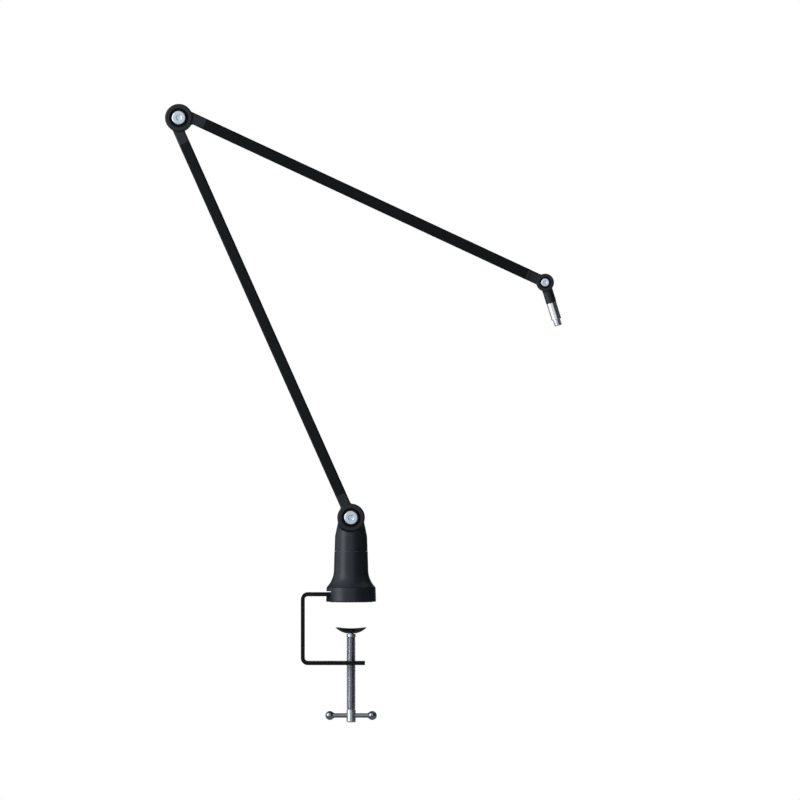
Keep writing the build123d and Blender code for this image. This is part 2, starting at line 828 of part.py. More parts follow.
# Lower arm
lower_fork = make_fork(base_fork_plane, large_knuckle, 0, base_neck_length, base_fork_screws)
save(lower_fork, "lower_fork")
lower_tongue = make_tongue(
    elbow_tongue_plane, large_knuckle, -elbow_offset, elbow_tongue_neck_length, elbow_tongue_screws
)
save(lower_tongue, "lower_tongue")
lower_tube = make_tube(
    base_fork_plane,
    base_neck_length,
    lower_tube_length - elbow_tongue_neck_length,
    0,
    base_fork_screws + elbow_tongue_screws,
)
save(lower_tube, "lower_tube")
save(make_tube_screws(base_fork_screws + elbow_tongue_screws), "lower_tube_screws")
save_knuckle(base_fork_plane, large_knuckle, "base")

# Upper arm
upper_fork = make_fork(
    elbow_fork_plane, large_knuckle, elbow_offset, elbow_fork_neck_length, elbow_fork_screws
)
save(upper_fork, "upper_fork")
tip_fork = make_fork(tip_fork_plane, small_knuckle, 0, tip_neck_length, tip_fork_screws)
save(tip_fork, "tip_fork")
upper_tube = make_tube(
    elbow_fork_plane,
    elbow_fork_neck_length,
    upper_tube_length - tip_neck_length,
    elbow_offset,
    elbow_fork_screws + tip_fork_screws,
)
save(upper_tube, "upper_tube")
save(make_tube_screws(elbow_fork_screws + tip_fork_screws), "upper_tube_screws")
save_knuckle(elbow_fork_plane, large_knuckle, "elbow")
save_knuckle(tip_fork_plane, small_knuckle, "tip")

# Spigot holder: a tongue in the tip fork, and a round socket for the spigot.
holder_start = small_knuckle.disc_radius + turning_gap
with BuildPart() as spigot_holder:
    with BuildSketch(spigot_plane):
        Circle(small_knuckle.disc_radius - turning_gap)
        with Locations((holder_start / 2, 0)):
            Rectangle(holder_start, holder_dia)
    extrude(amount=small_knuckle.tongue_half, both=True)
    with BuildSketch(section_plane(spigot_plane, holder_start, 0)):
        Circle(holder_dia / 2)
    extrude(amount=holder_end - holder_start)
    rims = spigot_holder.edges().filter_by(GeomType.CIRCLE)
    mouth = rims.sort_by_distance(spigot_plane.from_local_coords(Vector(holder_end, 0, 0)))[0]
    fillet(mouth, holder_edge_round)
    with BuildSketch(section_plane(spigot_plane, holder_end - spigot_shank_depth, 0)):
        Circle(spigot_shank_dia / 2)
    extrude(amount=spigot_shank_depth, mode=Mode.SUBTRACT)
    with BuildSketch(spigot_plane):
        Circle(small_knuckle.bolt_dia / 2 + running_clearance + small_knuckle.bush_wall)
    extrude(amount=small_knuckle.tongue_half, both=True, mode=Mode.SUBTRACT)
save(spigot_holder, "spigot_holder")

# Spigot: a plain cylinder with a shank in the holder and a threaded nose.
with BuildPart() as spigot:
    with BuildSketch(spigot_plane):
        with BuildLine():
            Polyline(
                (holder_end - spigot_shank_depth, 0),
                (holder_end - spigot_shank_depth, spigot_shank_dia / 2),
                (holder_end, spigot_shank_dia / 2),
                (holder_end, spigot_dia / 2),
                (spigot_shoulder, spigot_dia / 2),
                (spigot_shoulder, spigot_undercut_dia / 2),
                (spigot_shoulder + spigot_undercut, spigot_undercut_dia / 2),
                (spigot_shoulder + spigot_undercut, spigot_thread_dia / 2),
                (spigot_end, spigot_thread_dia / 2),
                (spigot_end, 0),
                close=True,
            )
        make_face()
    revolve(axis=Axis(spigot_plane.origin, spigot_plane.x_dir))
    rims = spigot.edges().filter_by(GeomType.CIRCLE).sort_by(
        lambda e: spigot_plane.to_local_coords(e.center()).X
    )
    chamfer(rims[-1], spigot_nose_chamfer)
    shoulder_rims = rims.filter_by(lambda e: abs(e.radius - spigot_dia / 2) < same)
    chamfer(shoulder_rims, spigot_rim_chamfer)
save(spigot, "spigot")

# Clamp spindle: neck and collar under the pad, threaded length, and a cross-drilled end.
collar_bottom = spindle_collar_top + spindle_collar_length
pad_floor_depth = pad_rim_depth + pad_bowl_depth
ring_bottom = -pad_floor_depth + pad_thickness + ring_gap
with BuildPart() as clamp_spindle:
    for top, bottom, dia in (
        (neck_top, spindle_collar_top, neck_dia),
        (spindle_collar_top, collar_bottom, spindle_collar_dia),
        (collar_bottom, spindle_end_top, spindle_dia),
        (spindle_end_top, spindle_end_bottom, spindle_end_dia),
    ):
        with BuildSketch(Plane.XY.offset(-bottom)):
            Circle(dia / 2)
        extrude(amount=bottom - top)
    fillet(clamp_spindle.edges().filter_by(GeomType.CIRCLE).sort_by(Axis.Z)[0], spindle_end_round)
    chamfer(clamp_spindle.edges().filter_by(GeomType.CIRCLE).sort_by(Axis.Z)[-1], neck_chamfer)
    with BuildSketch(Plane.YZ.offset(-spindle_dia)):
        with Locations((0, -handle_depth)):
            Circle(handle_dia / 2 + handle_clearance)
    extrude(amount=2 * spindle_dia, mode=Mode.SUBTRACT)
    with BuildSketch(Plane.XY.offset(ring_bottom)):
        Circle(neck_dia)
        Circle(neck_dia / 2 - groove_depth, mode=Mode.SUBTRACT)
    extrude(amount=ring_thickness, mode=Mode.SUBTRACT)
save(clamp_spindle, "clamp_spindle")

# Snap ring: an open ring in the neck's groove, which holds the pad on.
opening_end = ring_dia * cos(radians(ring_opening / 2))
opening_half = ring_dia * sin(radians(ring_opening / 2))
with BuildPart() as pad_ring:
    with BuildSketch(Plane.XY.offset(ring_bottom)):
        Circle(ring_dia / 2)
        Circle(neck_dia / 2 - groove_depth + running_clearance, mode=Mode.SUBTRACT)
        with BuildLine():
            Polyline((0, 0), (opening_end, opening_half), (opening_end, -opening_half), close=True)
        make_face(mode=Mode.SUBTRACT)
    extrude(amount=ring_thickness)
save(pad_ring, "pad_ring")

# Pressure pad: a thin dish with a hole for the neck, its rim lower at the front and back.
with BuildPart() as pressure_pad:
    with BuildSketch(Plane.XZ):
        with BuildLine():
            under = RadiusArc(
                (pad_floor_radius, -pad_floor_depth), (pad_radius, -pad_rim_depth), -pad_arc_radius
            )
            over = RadiusArc(
                (pad_floor_radius, -pad_floor_depth + pad_thickness),
                (pad_radius - pad_rim_thickness, -pad_rim_depth),
                -pad_arc_radius,
            )
            Polyline(under @ 0, (0, -pad_floor_depth), (0, -pad_floor_depth + pad_thickness), over @ 0)
            Line(under @ 1, over @ 1)
        make_face()
    revolve(axis=Axis.Z)
    with BuildSketch(Plane.XY.offset(-pad_floor_depth)):
        Circle(neck_dia / 2 + pad_hole_clearance)
    extrude(amount=pad_bowl_depth, mode=Mode.SUBTRACT)
    scallop_radius = (pad_scallop_half_width**2 + pad_scallop_depth**2) / (2 * pad_scallop_depth)
    with BuildSketch(Plane.XZ):
        with Locations((0, -pad_rim_depth - pad_scallop_depth + scallop_radius)):
            Circle(scallop_radius)
    extrude(amount=2 * pad_radius, both=True, mode=Mode.SUBTRACT)
save(pressure_pad, "pressure_pad")

# Sliding handle: a rod through the spindle's end, with a ball on each end.
ball_centre = handle_length / 2 - handle_ball_dia / 2
rod_half = ball_centre - handle_ball_dia / 2 + handle_ball_bore_depth
with BuildPart() as handle_rod:
    with BuildSketch(Plane.YZ):
        with Locations((0, -handle_depth)):
            Circle(handle_dia / 2)
    extrude(amount=rod_half, both=True)
save(handle_rod, "handle_rod")

with BuildPart() as handle_balls:
    with Locations((-ball_centre, 0, -handle_depth), (ball_centre, 0, -handle_depth)):
        Sphere(handle_ball_dia / 2)
    with BuildSketch(Plane.YZ):
        with Locations((0, -handle_depth)):
            Circle(handle_dia / 2)
    extrude(amount=rod_half, both=True, mode=Mode.SUBTRACT)
save(handle_balls, "handle_balls")
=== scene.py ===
import bpy
import bmesh
import json
import math
from mathutils import Matrix, Vector


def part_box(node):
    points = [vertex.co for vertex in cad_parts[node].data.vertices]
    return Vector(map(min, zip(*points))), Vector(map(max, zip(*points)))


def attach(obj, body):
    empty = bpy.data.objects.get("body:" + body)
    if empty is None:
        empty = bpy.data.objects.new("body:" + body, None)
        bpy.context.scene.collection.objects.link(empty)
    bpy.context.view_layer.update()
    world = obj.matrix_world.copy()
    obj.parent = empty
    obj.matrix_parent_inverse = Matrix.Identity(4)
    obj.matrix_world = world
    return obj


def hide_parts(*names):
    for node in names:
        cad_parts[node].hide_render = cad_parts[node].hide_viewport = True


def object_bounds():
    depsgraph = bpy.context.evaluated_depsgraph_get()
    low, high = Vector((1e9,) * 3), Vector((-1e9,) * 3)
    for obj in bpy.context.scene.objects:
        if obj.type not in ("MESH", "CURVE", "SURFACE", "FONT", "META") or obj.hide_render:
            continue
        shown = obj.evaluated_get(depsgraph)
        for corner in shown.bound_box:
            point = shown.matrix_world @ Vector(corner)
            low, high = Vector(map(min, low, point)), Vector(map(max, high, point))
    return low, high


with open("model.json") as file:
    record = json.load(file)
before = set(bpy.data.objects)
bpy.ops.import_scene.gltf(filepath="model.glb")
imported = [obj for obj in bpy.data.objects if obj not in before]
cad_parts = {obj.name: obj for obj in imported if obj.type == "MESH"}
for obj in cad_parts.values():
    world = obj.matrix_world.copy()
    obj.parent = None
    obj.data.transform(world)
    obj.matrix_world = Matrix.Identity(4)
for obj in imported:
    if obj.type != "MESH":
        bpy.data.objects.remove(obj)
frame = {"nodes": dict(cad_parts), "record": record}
cadLow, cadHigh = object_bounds()
nodes = frame["nodes"]
joints = {j["name"]: j for j in frame["record"]["behaviour"]["joints"]}
mounts = {m["name"]: m for m in frame["record"]["mounts"]}
mm = 0.001
print("frame loaded")

# places, all taken from the frame
basePivot = Vector(joints["lower_arm_pitch"]["pos_m"])
elbowPivot = Vector(joints["elbow_pitch"]["pos_m"])
tipPivot = Vector(joints["tip_pitch"]["pos_m"])
lowerDirection = (elbowPivot - basePivot).normalized()
upperDirection = (tipPivot - elbowPivot).normalized()
spigotDirection = Vector(mounts["spigot_thread"]["axis"]).normalized()
frontDirection = Vector((0, -1, 0))
upDirection = Vector((0, 0, 1))
sideDirection = Vector((1, 0, 0))


def placeAt(origin, direction):
    # a turned place at origin whose Z axis points along direction
    zAxis = direction.normalized()
    guide = upDirection if abs(zAxis.z) < 0.9 else sideDirection
    xAxis = (guide - zAxis * guide.dot(zAxis)).normalized()
    yAxis = zAxis.cross(xAxis)
    turned = Matrix((xAxis, yAxis, zAxis)).transposed().to_4x4()
    return Matrix.Translation(origin) @ turned


def groupWith(name, inputs, outputs):
    # a shader node group with named inputs and outputs
    tree = bpy.data.node_groups.new(name, "ShaderNodeTree")
    for label, kind, value in inputs:
        socket = tree.interface.new_socket(label, in_out="INPUT", socket_type=kind)
        if value is not None:
            socket.default_value = value
    for label, kind in outputs:
        tree.interface.new_socket(label, in_out="OUTPUT", socket_type=kind)
    return tree, tree.nodes.new("NodeGroupInput"), tree.nodes.new("NodeGroupOutput")


def addNode(tree, kind, values=None, **props):
    # values are numbers for its inputs, or outputs to link to them
    node = tree.nodes.new(kind)
    for prop, value in props.items():
        setattr(node, prop, value)
    for socket, value in (values or {}).items():
        if hasattr(value, "is_output"):
            tree.links.new(value, node.inputs[socket])
        else:
            node.inputs[socket].default_value = value
    return node


def mathNode(tree, operation, a, b=None, clamp=False):
    values = {0: a} if b is None else {0: a, 1: b}
    return addNode(tree, "ShaderNodeMath", values, operation=operation, use_clamp=clamp).outputs[0]


def noiseNode(tree, vector, scale, detail):
    values = {"Vector": vector, "Scale": scale, "Detail": detail}
    return addNode(tree, "ShaderNodeTexNoise", values).outputs[0]


def ringNoise(tree, along, detail):
    # noise along one number only
    values = {"W": along, "Scale": 1.0, "Detail": detail}
    return addNode(tree, "ShaderNodeTexNoise", values, noise_dimensions="1D").outputs[0]


def mapRange(tree, value, fromLow, fromHigh, toLow=0.0, toHigh=1.0, **props):
    values = {0: value, 1: fromLow, 2: fromHigh, 3: toLow, 4: toHigh}
    return addNode(tree, "ShaderNodeMapRange", values, **props).outputs[0]


def vectorMath(tree, operation, a, b=None):
    values = {0: a} if b is None else {0: a, 1: b}
    node = addNode(tree, "ShaderNodeVectorMath", values, operation=operation)
    return node.outputs["Value" if operation in ("LENGTH", "DOT_PRODUCT") else "Vector"]


def buildCoatGrain():
    # orange peel and fine specks of a sprayed coat
    tree, into, out = groupWith(
        "coatGrain",
        [("Vector", "NodeSocketVector", None), ("Peel Size", "NodeSocketFloat", 900.0),
         ("Speck Size", "NodeSocketFloat", 4200.0)],
        [("Height", "NodeSocketFloat"), ("Specks", "NodeSocketFloat")],
    )
    peel = noiseNode(tree, into.outputs["Vector"], into.outputs["Peel Size"], 2.0)
    speck = noiseNode(tree, into.outputs["Vector"], into.outputs["Speck Size"], 1.0)
    fine = mathNode(tree, "MULTIPLY", speck, 0.35)
    tree.links.new(mathNode(tree, "ADD", peel, fine), out.inputs["Height"])
    tree.links.new(mapRange(tree, speck, 0.45, 0.72), out.inputs["Specks"])
    return tree


def buildHandling():
    # broad soft patches where hands and dust change the sheen
    tree, into, out = groupWith(
        "handling",
        [("Vector", "NodeSocketVector", None), ("Patch Size", "NodeSocketFloat", 40.0),
         ("Low", "NodeSocketFloat", 0.3), ("High", "NodeSocketFloat", 0.45)],
        [("Roughness", "NodeSocketFloat"), ("Mask", "NodeSocketFloat")],
    )
    broad = addNode(tree, "ShaderNodeTexNoise", {"Vector": into.outputs["Vector"], "Detail": 5.0,
                                                 "Scale": into.outputs["Patch Size"], "Roughness": 0.6})
    soft = mapRange(tree, broad.outputs[0], 0.3, 0.7)
    rough = mapRange(tree, soft, 0.0, 1.0, into.outputs["Low"], into.outputs["High"])
    tree.links.new(rough, out.inputs["Roughness"])
    tree.links.new(soft, out.inputs["Mask"])
    return tree


def buildTurning():
    # fine rings left by a lathe, round the local Z axis of the vector
    tree, into, out = groupWith(
        "turningMarks",
        [("Vector", "NodeSocketVector", None), ("Ring Spacing", "NodeSocketFloat", 0.0003)],
        [("Height", "NodeSocketFloat"), ("Band", "NodeSocketFloat")],
    )
    parts = addNode(tree, "ShaderNodeSeparateXYZ", {0: into.outputs["Vector"]})
    squareX = mathNode(tree, "MULTIPLY", parts.outputs[0], parts.outputs[0])
    squareY = mathNode(tree, "MULTIPLY", parts.outputs[1], parts.outputs[1])
    radius = mathNode(tree, "SQRT", mathNode(tree, "ADD", squareX, squareY))
    path = mathNode(tree, "ADD", radius, parts.outputs[2])
    turns = mathNode(tree, "DIVIDE", path, into.outputs["Ring Spacing"])
    tree.links.new(ringNoise(tree, turns, 2.0), out.inputs["Height"])
    wide = mathNode(tree, "MULTIPLY", turns, 0.13)
    tree.links.new(ringNoise(tree, wide, 3.0), out.inputs["Band"])
    return tree


def buildDrawLines():
    # long lines that extrusion or drawing leaves along local Z
    tree, into, out = groupWith(
        "drawLines",
        [("Vector", "NodeSocketVector", None), ("Line Width", "NodeSocketFloat", 3000.0)],
        [("Height", "NodeSocketFloat"), ("Streaks", "NodeSocketFloat")],
    )
    squeeze = vectorMath(tree, "MULTIPLY", into.outputs["Vector"], (1.0, 1.0, 0.012))
    tree.links.new(noiseNode(tree, squeeze, into.outputs["Line Width"], 3.0), out.inputs["Height"])
    tree.links.new(noiseNode(tree, squeeze, 420.0, 2.0), out.inputs["Streaks"])
    return tree


coatGrain = buildCoatGrain()
handling = buildHandling()
turningMarks = buildTurning()
drawLines = buildDrawLines()


def startMaterial(name):
    material = bpy.data.materials.new(name)
    material.use_nodes = True
    tree = material.node_tree
    tree.nodes.clear()
    out = tree.nodes.new("ShaderNodeOutputMaterial")
    shader = tree.nodes.new("ShaderNodeBsdfPrincipled")
    tree.links.new(shader.outputs[0], out.inputs[0])
    coords = tree.nodes.new("ShaderNodeTexCoord").outputs["Object"]
    return material, tree, shader, coords


def useGroup(tree, group, values):
    return addNode(tree, "ShaderNodeGroup", values, node_tree=group)


def turnedCoords(tree, coords, place):
    # object coordinates seen from a piece's own axis: local Z along it, its centre at the origin
    inverse = place.inverted()
    angles = inverse.to_euler("XYZ")
    shift = inverse.to_translation()
    mapping = addNode(tree, "ShaderNodeMapping", {"Vector": coords}, vector_type="POINT")
    mapping.inputs["Location"].default_value = shift
    mapping.inputs["Rotation"].default_value = angles
    return mapping.outputs[0]


def mixColours(tree, factor, first, second):
    mix = addNode(tree, "ShaderNodeMix", data_type="RGBA")
    tree.links.new(factor, mix.inputs["Factor"])
    mix.inputs[6].default_value = (*first, 1)
    mix.inputs[7].default_value = (*second, 1)
    return mix.outputs[2]


def addBump(tree, shader, height, strength, distance):
    bump = addNode(tree, "ShaderNodeBump", {"Strength": strength, "Distance": distance})
    tree.links.new(height, bump.inputs["Height"])
    tree.links.new(bump.outputs[0], shader.inputs["Normal"])


def buildRecessShadeMask():
    # 1 outside, where the coat is; 0 in a round recess about the local Z axis of the vector, where painted
    # shade goes
    tree, into, out = groupWith(
        "recessShadeMask",
        [("Vector", "NodeSocketVector", None), ("Radius", "NodeSocketFloat", 0.01)],
        [("Mask", "NodeSocketFloat")],
    )
    flat = vectorMath(tree, "MULTIPLY", into.outputs["Vector"], (1.0, 1.0, 0.0))
    past = mathNode(tree, "SUBTRACT", vectorMath(tree, "LENGTH", flat), into.outputs["Radius"])
    tree.links.new(mapRange(tree, past, -0.0001, 0.0001), out.inputs["Mask"])
    return tree


recessShadeMask = buildRecessShadeMask()
coat = {"roughLow": 0.42, "roughHigh": 0.55, "peelDepth": 0.00002, "baseSpecular": 0.12, "gloss": 0.5,
        "glossRoughness": 0.33}


def coatMaterial(name, dark, light, gloss=1.0, place=None, recessRadius=None):
    # a matt colour coat with a satin top coat; in the bolt recesses the colour is painted near black and
    # the top coat left off, as painted shade
    material, tree, shader, coords = startMaterial(name)
    grain = useGroup(tree, coatGrain, {"Vector": coords})
    hands = useGroup(tree, handling, {"Vector": coords, "Low": coat["roughLow"], "High": coat["roughHigh"]})
    colour = mixColours(tree, grain.outputs["Specks"], dark, light)
    weight = coat["gloss"] * gloss
    shader.inputs["Coat Weight"].default_value = weight
    if place:
        own = turnedCoords(tree, coords, place)
        mask = useGroup(tree, recessShadeMask, {"Vector": own, "Radius": recessRadius}).outputs[0]
        # painted shade: the recess floor takes a near-black colour in place of the coat
        shadeMix = addNode(tree, "ShaderNodeMix", data_type="RGBA")
        tree.links.new(mask, shadeMix.inputs["Factor"])
        shadeMix.inputs[6].default_value = (0.004, 0.0045, 0.0055, 1)
        tree.links.new(colour, shadeMix.inputs[7])
        colour = shadeMix.outputs[2]
        tree.links.new(mapRange(tree, mask, 0.0, 1.0, 0.0, weight), shader.inputs["Coat Weight"])
    tree.links.new(colour, shader.inputs["Base Color"])
    tree.links.new(hands.outputs["Roughness"], shader.inputs["Roughness"])
    addBump(tree, shader, grain.outputs["Height"], 0.35, coat["peelDepth"])
    shader.inputs["Coat Roughness"].default_value = coat["glossRoughness"]
    shader.inputs["Specular IOR Level"].default_value = coat["baseSpecular"]
    return material


tubeFinish = {"dark": (0.0075, 0.0088, 0.0094), "light": (0.0105, 0.0122, 0.0132), "roughLow": 0.42,
              "roughHigh": 0.52, "lineDepth": 0.000012, "specular": 0.09}


def tubeMaterial(name, origin, direction, shade):
    # black anodised tube with faint draw lines along it; shade scales its colours down as painted shade
    material, tree, shader, coords = startMaterial(name)
    own = turnedCoords(tree, coords, placeAt(origin, direction))
    lines = useGroup(tree, drawLines, {"Vector": own})
    hands = useGroup(tree, handling, {"Vector": coords, "Patch Size": 25.0,
                                      "Low": tubeFinish["roughLow"], "High": tubeFinish["roughHigh"]})
    dark = [channel * shade for channel in tubeFinish["dark"]]
    light = [channel * shade for channel in tubeFinish["light"]]
    tree.links.new(mixColours(tree, lines.outputs["Streaks"], dark, light), shader.inputs["Base Color"])
    tree.links.new(hands.outputs["Roughness"], shader.inputs["Roughness"])
    addBump(tree, shader, lines.outputs["Height"], 0.3, tubeFinish["lineDepth"])
    shader.inputs["Specular IOR Level"].default_value = tubeFinish["specular"]
    return material


def metalMaterial(name, place, dark, light, roughLow, roughHigh, ringSpacing=0.0003, ringDepth=0.000004,
                  bandShare=True):
    # turned or plated metal, with lathe rings about its own axis
    material, tree, shader, coords = startMaterial(name)
    own = turnedCoords(tree, coords, place)
    rings = useGroup(tree, turningMarks, {"Vector": own, "Ring Spacing": ringSpacing})
    hands = useGroup(tree, handling, {"Vector": coords, "Patch Size": 160.0, "Low": roughLow,
                                      "High": roughHigh})
    factor = rings.outputs["Band"] if bandShare else hands.outputs["Mask"]
    tree.links.new(mixColours(tree, factor, dark, light), shader.inputs["Base Color"])
    tree.links.new(hands.outputs["Roughness"], shader.inputs["Roughness"])
    addBump(tree, shader, rings.outputs["Height"], 0.4, ringDepth)
    shader.inputs["Metallic"].default_value = 1.0
    return material


def grainyMaterial(name, dark, light, roughLow, roughHigh, grainScale, depth, specular=0.4):
    # rubber, acetal and friction fibre: a fine even grain
    material, tree, shader, coords = startMaterial(name)
    grain = useGroup(tree, coatGrain, {"Vector": coords, "Peel Size": grainScale,
                                       "Speck Size": grainScale * 3})
    hands = useGroup(tree, handling, {"Vector": coords, "Low": roughLow, "High": roughHigh})
    tree.links.new(mixColours(tree, grain.outputs["Specks"], dark, light), shader.inputs["Base Color"])
    tree.links.new(hands.outputs["Roughness"], shader.inputs["Roughness"])
    addBump(tree, shader, grain.outputs["Height"], 0.5, depth)
    shader.inputs["Specular IOR Level"].default_value = specular
    return material


zincDark, zincLight = (0.68, 0.76, 0.84), (0.74, 0.82, 0.90)
# the spigot's chrome, painted brighter than the clamp screw's as a painted highlight
litChromeDark, litChromeLight = (0.78, 0.79, 0.82), (0.90, 0.91, 0.93)
steelDark, steelLight = (0.36, 0.36, 0.37), (0.50, 0.50, 0.51)
# the handle's chrome, painted darker than the clamp screw's as painted shade
shadedChromeDark, shadedChromeLight = (0.27, 0.28, 0.29), (0.36, 0.37, 0.38)
platedDepth = 0.001 * mm  # lathe rings left under the plating
spindlePlace = placeAt(Vector((0, 0, 0)), upDirection)
rodLow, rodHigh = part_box("handle_rod")
rodCentre = (Vector(rodLow) + Vector(rodHigh)) / 2
handlePlace = placeAt(rodCentre, sideDirection)
spigotPlace = placeAt(tipPivot, spigotDirection)
boltPlaces = {"base": placeAt(basePivot, frontDirection), "elbow": placeAt(elbowPivot, frontDirection),
              "tip": placeAt(tipPivot, frontDirection)}

finishes = {
    "coat": coatMaterial("satinCoat", (0.014, 0.018, 0.025), (0.020, 0.025, 0.033)),
    "fittingCoat": coatMaterial("fittingCoat", (0.015, 0.0175, 0.021), (0.022, 0.025, 0.029), 0.8),
    "framePaint": coatMaterial("framePaint", (0.0035, 0.0035, 0.0035), (0.006, 0.006, 0.006), 0.12),
    "padBlack": coatMaterial("padBlack", (0.006, 0.006, 0.0065), (0.010, 0.010, 0.011), 0.6),
    "blackOxide": grainyMaterial("blackOxide", (0.012, 0.012, 0.013), (0.020, 0.020, 0.022), 0.4, 0.5,
                                 2600.0, 0.000008),
    # the thread: the clamp screw's metal painted darker than its collar and end, as painted shade
    "threadSteel": metalMaterial("threadSteel", spindlePlace, (0.37, 0.37, 0.42), (0.48, 0.48, 0.53),
                                 0.16, 0.24, ringDepth=platedDepth),
    # one anodised finish on both tubes: the upper painted darker (0.62) and the lower a little (0.95), as
    # painted shade
    "lowerTube": tubeMaterial("lowerTubeShadedAnodised", basePivot, lowerDirection, 0.95),
    "upperTube": tubeMaterial("upperTubeShadedAnodised", elbowPivot, upperDirection, 0.62),
    "spindleChrome": metalMaterial("spindleChrome", spindlePlace, (0.52, 0.53, 0.56), (0.63, 0.64, 0.67),
                                   0.28, 0.34, ringDepth=platedDepth),
    "handleChrome": metalMaterial("handleChrome", handlePlace, shadedChromeDark, shadedChromeLight, 0.09, 0.15,
                                  ringDepth=platedDepth, bandShare=False),
    "spigotChrome": metalMaterial("spigotChrome", spigotPlace, litChromeDark, litChromeLight, 0.08, 0.14,
                                  ringDepth=platedDepth),
    "turnedSteel": metalMaterial("turnedSteel", spindlePlace, steelDark, steelLight, 0.26, 0.38),
    "rubber": grainyMaterial("footRubber", (0.012, 0.012, 0.012), (0.022, 0.022, 0.022), 0.6, 0.75,
                             1500.0, 0.00004),
    "acetal": grainyMaterial("acetalWhite", (0.66, 0.64, 0.58), (0.74, 0.72, 0.66), 0.4, 0.5,
                             900.0, 0.00001),
    "fibre": grainyMaterial("frictionFibre", (0.09, 0.07, 0.05), (0.17, 0.14, 0.11), 0.7, 0.85,
                            1800.0, 0.00004),
}
# fittings whose bolt recesses are painted near black as painted shade
for knuckle, recess in (("base", 10.5 * mm), ("elbow", 10.5 * mm), ("tip", 6.3 * mm)):
    finishes[knuckle + "Fitting"] = coatMaterial(knuckle + "Fitting", (0.012, 0.0145, 0.018),
                                                 (0.018, 0.021, 0.025), 0.75, boltPlaces[knuckle], recess)
for knuckle, place in boltPlaces.items():
    finishes[knuckle + "Zinc"] = metalMaterial(knuckle + "Zinc", place, zincDark, zincLight, 0.31, 0.37,
                                               ringSpacing=0.00035, ringDepth=0.0000015)
print("materials made")

nodeFinish = {
    "base_cup": "coat", "base_cone": "coat", "swivel_head": "coat",
    "lower_fork": "baseFitting", "lower_tongue": "fittingCoat", "upper_fork": "elbowFitting",
    "tip_fork": "tipFitting", "spigot_holder": "fittingCoat", "post_grub_screw": "blackOxide",
    "lower_tube_screws": "blackOxide", "upper_tube_screws": "blackOxide",
    "lower_tube": "lowerTube", "upper_tube": "upperTube", "clamp_frame": "framePaint",
    "pressure_pad": "padBlack", "foot_pad": "rubber", "lower_swivel_bush": "acetal",
    "upper_swivel_bush": "acetal", "thrust_washer": "acetal",
}
for knuckle in boltPlaces:
    nodeFinish[knuckle + "_bush"] = "acetal"
    nodeFinish[knuckle + "_friction_discs"] = "fibre"
for name, cadObject in nodes.items():
    cadObject.data.materials.clear()
    cadObject.data.materials.append(finishes[nodeFinish.get(name, "turnedSteel")])


def finishMesh(parts, name, body, replaced=(), sharpAngle=32.0):
    # meshes and their finishes become one piece of the model
    shape = bmesh.new()
    for mesh, finish in parts:
        shape.from_mesh(mesh)
    joined = bpy.data.meshes.new(name)
    shape.to_mesh(joined)
    shape.free()
    joined.materials.clear()
    names = sorted({finish for mesh, finish in parts})
    for finish in names:
        joined.materials.append(finishes[finish])
    first = 0
    for mesh, finish in parts:
        for polygon in joined.polygons[first:first + len(mesh.polygons)]:
            polygon.material_index = names.index(finish)
            polygon.use_smooth = True
        first += len(mesh.polygons)
    joined.set_sharp_from_angle(angle=math.radians(sharpAngle))
    piece = bpy.data.objects.new(name, joined)
    bpy.context.scene.collection.objects.link(piece)
    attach(piece, body)
    if replaced:
        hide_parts(*replaced)
    return piece


def hexRadius(angle, flats):
    # how far a hexagon's side is from its centre at an angle
    sector = math.pi / 3
    return flats / 2 / math.cos((angle + sector / 2) % sector - sector / 2)


def lathe(profile, place, around=96):
    # profile: rows of (along, radius) or (along, radius, flats), where flats makes the row a hexagon
    shape = bmesh.new()
    rings = []
    for row in profile:
        along, radius = row[0], row[1]
        flats = row[2] if len(row) > 2 else None
        if radius == 0:
            rings.append([shape.verts.new((0, 0, along))])
            continue
        ring = []
        for step in range(around):
            angle = 2 * math.pi * step / around
            reach = min(radius, hexRadius(angle, flats)) if flats else radius
            ring.append(shape.verts.new((reach * math.cos(angle), reach * math.sin(angle), along)))
        rings.append(ring)
    for low, high in zip(rings, rings[1:]):
        for step in range(around):
            after = (step + 1) % around
            corners = [low[step % len(low)], low[after % len(low)],
                       high[after % len(high)], high[step % len(high)]]
            unique = list(dict.fromkeys(corners))
            if len(unique) > 2:
                shape.faces.new(unique)
    bmesh.ops.recalc_face_normals(shape, faces=shape.faces)
    mesh = bpy.data.meshes.new("lathe")
    shape.to_mesh(mesh)
    shape.free()
    mesh.transform(place)
    return mesh


def rounded(corner, before, after, radius, steps=7):
    # the points of a fillet at a corner of a profile, with one more point each side to hold the flats
    c, b, a = Vector(corner), Vector(before), Vector(after)
    toB, toA = (b - c).normalized(), (a - c).normalized()
    half = toB.angle(toA) / 2
    reach = min(radius / math.tan(half), (b - c).length * 0.95, (a - c).length * 0.95)
    size = reach * math.tan(half)
    centre = c + (toB + toA).normalized() * (size / math.sin(half))
    start, end = c + toB * reach - centre, c + toA * reach - centre
    hold = reach * 0.2
    points = []
    if (b - c).length > reach + 2 * hold:
        points.append(tuple(c + toB * (reach + hold)))
    for step in range(steps + 1):
        share = step / steps
        spoke = (start * (1 - share) + end * share).normalized() * size
        points.append(tuple(centre + spoke))
    if (a - c).length > reach + 2 * hold:
        points.append(tuple(c + toA * (reach + hold)))
    return points


def softProfile(points, radii):
    # a profile with its corners rounded: radii maps a point's number to its fillet
    out = []
    for number, point in enumerate(points):
        if number in radii:
            out += rounded(point[:2], points[number - 1][:2], points[number + 1][:2], radii[number])
        else:
            out.append(point)
    return out


